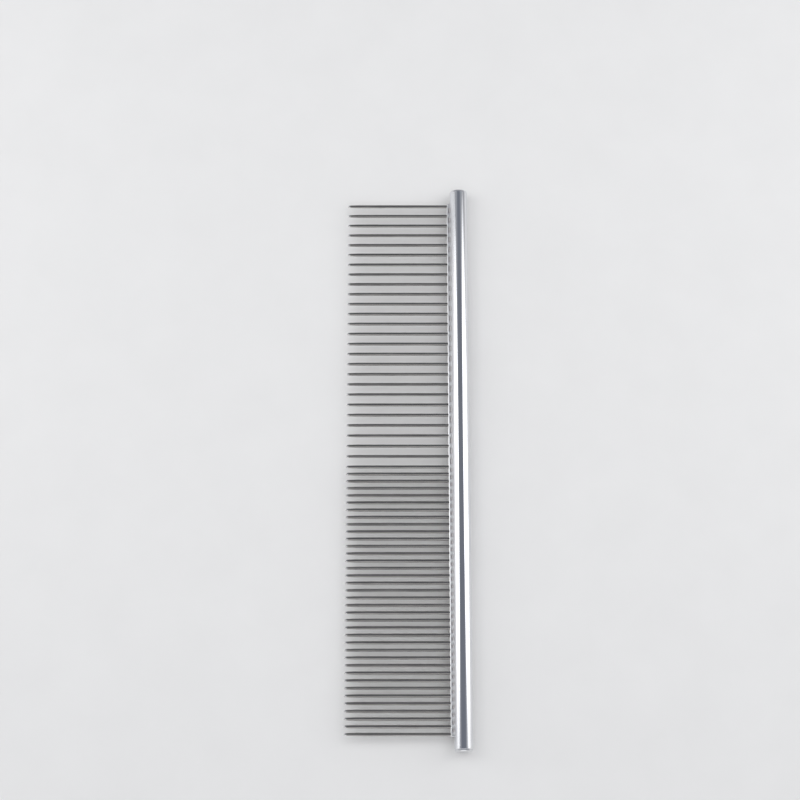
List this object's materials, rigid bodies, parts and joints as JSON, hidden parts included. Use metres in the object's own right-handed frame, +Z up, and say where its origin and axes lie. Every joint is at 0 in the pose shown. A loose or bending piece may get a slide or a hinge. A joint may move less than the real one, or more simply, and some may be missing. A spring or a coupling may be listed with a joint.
{
  "type": "grooming comb",
  "caption": "Steel pet grooming comb: a round tubular spine with a crimped rail that holds one straight row of round-tipped wire pins, wide apart in one half and close together in the other.",
  "frame": {"origin": "centre of the bounding box in X and Y, on the level surface that the spine lies on", "axes": "+Y along the spine towards the coarse end, +Z up and square to the flat row of pins, pins pointing along -X"},
  "size_m": [0.051, 0.236, 0.0075],
  "materials": {
    "spine_plating": "bright polished plating on rolled steel tube",
    "rail_plating": "satin plating, duller in the crimps",
    "plug_plating": "bright polished plating on turned steel",
    "pin_steel": "dark drawn steel wire with fine lines along its length, polished at the tips"
  },
  "bodies": {
    "root": {"coarse_pin_01": "pin_steel", "coarse_pin_02": "pin_steel", "coarse_pin_03": "pin_steel", "coarse_pin_04": "pin_steel", "coarse_pin_05": "pin_steel", "coarse_pin_06": "pin_steel", "coarse_pin_07": "pin_steel", "coarse_pin_08": "pin_steel", "coarse_pin_09": "pin_steel", "coarse_pin_10": "pin_steel", "coarse_pin_11": "pin_steel", "coarse_pin_12": "pin_steel", "coarse_pin_13": "pin_steel", "coarse_pin_14": "pin_steel", "coarse_pin_15": "pin_steel", "coarse_pin_16": "pin_steel", "coarse_pin_17": "pin_steel", "coarse_pin_18": "pin_steel", "coarse_pin_19": "pin_steel", "coarse_pin_20": "pin_steel", "coarse_pin_21": "pin_steel", "coarse_pin_22": "pin_steel", "coarse_pin_23": "pin_steel", "coarse_pin_24": "pin_steel", "coarse_pin_25": "pin_steel", "coarse_pin_26": "pin_steel", "coarse_pin_27": "pin_steel", "end_plug_coarse": "plug_plating", "end_plug_fine": "plug_plating", "fine_pins_01_02": "pin_steel", "fine_pins_03_04": "pin_steel", "fine_pins_05_06": "pin_steel", "fine_pins_07_08": "pin_steel", "fine_pins_09_10": "pin_steel", "fine_pins_11_12": "pin_steel", "fine_pins_13_14": "pin_steel", "fine_pins_15_16": "pin_steel", "fine_pins_17_18": "pin_steel", "fine_pins_19_20": "pin_steel", "fine_pins_21_22": "pin_steel", "fine_pins_23_24": "pin_steel", "fine_pins_25_26": "pin_steel", "fine_pins_27_28": "pin_steel", "fine_pins_29_30": "pin_steel", "fine_pins_31_32": "pin_steel", "fine_pins_33_34": "pin_steel", "fine_pins_35_36": "pin_steel", "pin_rail": "rail_plating", "spine_tube": "spine_plating"}
  },
  "joints": []
}
